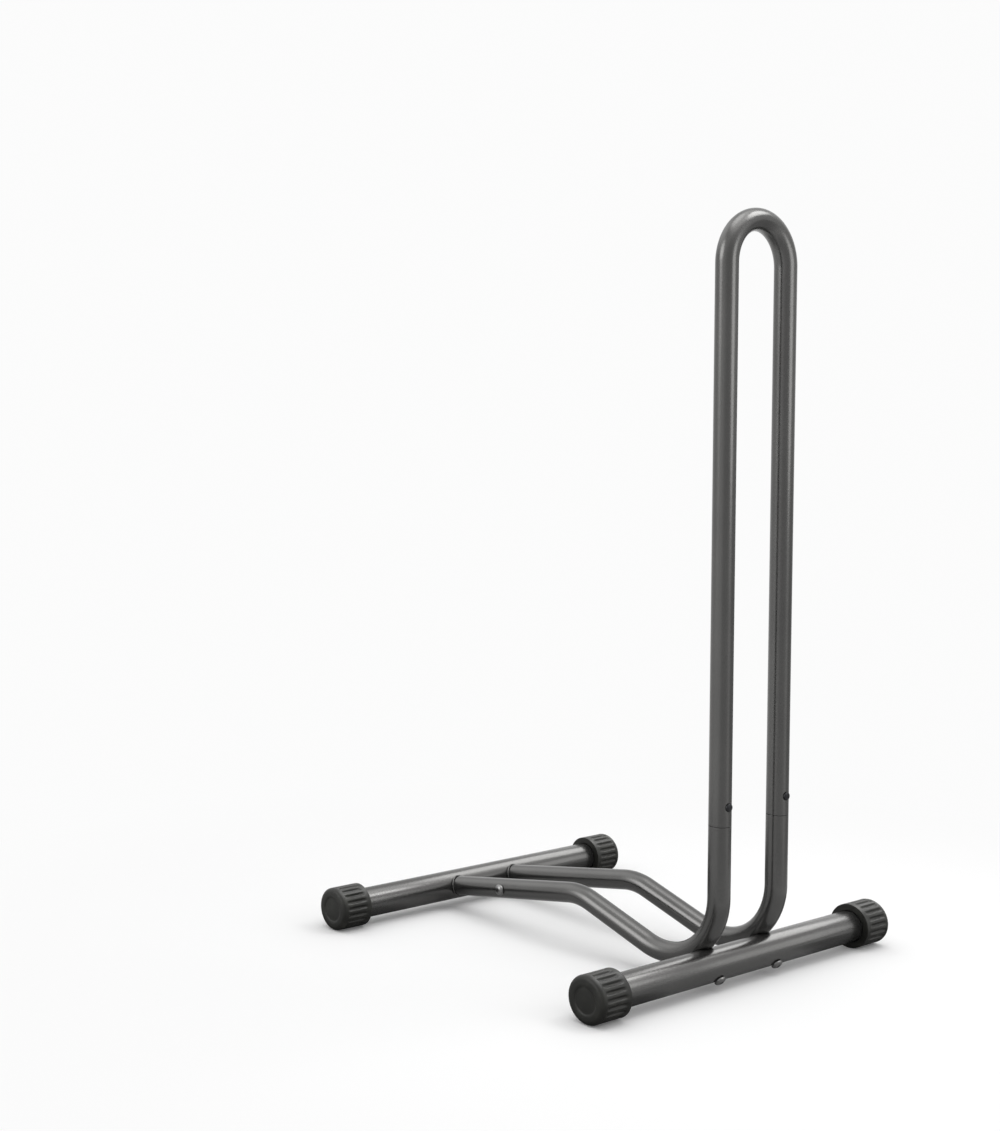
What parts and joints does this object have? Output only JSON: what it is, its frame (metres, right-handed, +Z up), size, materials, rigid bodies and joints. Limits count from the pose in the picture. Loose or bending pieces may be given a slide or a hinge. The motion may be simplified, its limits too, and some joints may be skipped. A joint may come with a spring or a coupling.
{
  "type": "floor bike stand",
  "caption": "Floor stand that holds a bicycle by one wheel: an upright hoop of round tube on two bent rails, joined by cross tubes with ribbed end caps as feet.",
  "frame": {"origin": "on the floor, in the middle of the stand's outline", "axes": "+Z up; +X forwards, from the rear cross tube towards the hoop; +Y left, along the cross tubes"},
  "size_m": [0.4982, 0.5, 0.8727],
  "materials": {
    "gunmetal_coat": "satin metallic dark grey coat",
    "cap_black": "moulded, matt",
    "black_steel": "black, smooth",
    "spring_steel": "plain spring steel",
    "zinc": "bright zinc plate"
  },
  "bodies": {
    "stand": {"upright_hoop": "gunmetal_coat", "rail_right": "gunmetal_coat", "rail_left": "gunmetal_coat", "front_cross_tube": "gunmetal_coat", "rear_cross_tube": "gunmetal_coat", "stub_right": "gunmetal_coat", "stub_left": "gunmetal_coat", "weld_right": "gunmetal_coat", "weld_left": "gunmetal_coat", "end_cap_front_right": "cap_black", "end_cap_front_left": "cap_black", "end_cap_rear_right": "cap_black", "end_cap_rear_left": "cap_black", "button_spring_right": "spring_steel", "button_spring_left": "spring_steel", "front_bolt_right": "zinc", "front_bolt_left": "zinc", "rail_bolt_right": "zinc", "rail_bolt_left": "zinc", "front_nut_right": "zinc", "front_nut_left": "zinc", "rail_nut_right": "zinc", "rail_nut_left": "zinc"},
    "button_right": {"snap_button_right": "black_steel"},
    "button_left": {"snap_button_left": "black_steel"}
  },
  "joints": [
    {"name": "button_right_press", "type": "slide", "parent": "stand", "child": "button_right", "axis": [-1, 0, 0], "range_m": [0, 0.0045], "stiffness_N_per_m": 900, "springref_m": -0.003, "deforming": ["button_spring_right"]},
    {"name": "button_left_press", "type": "slide", "parent": "stand", "child": "button_left", "axis": [-1, 0, 0], "range_m": [0, 0.0045], "stiffness_N_per_m": 900, "springref_m": -0.003, "deforming": ["button_spring_left"]}
  ]
}
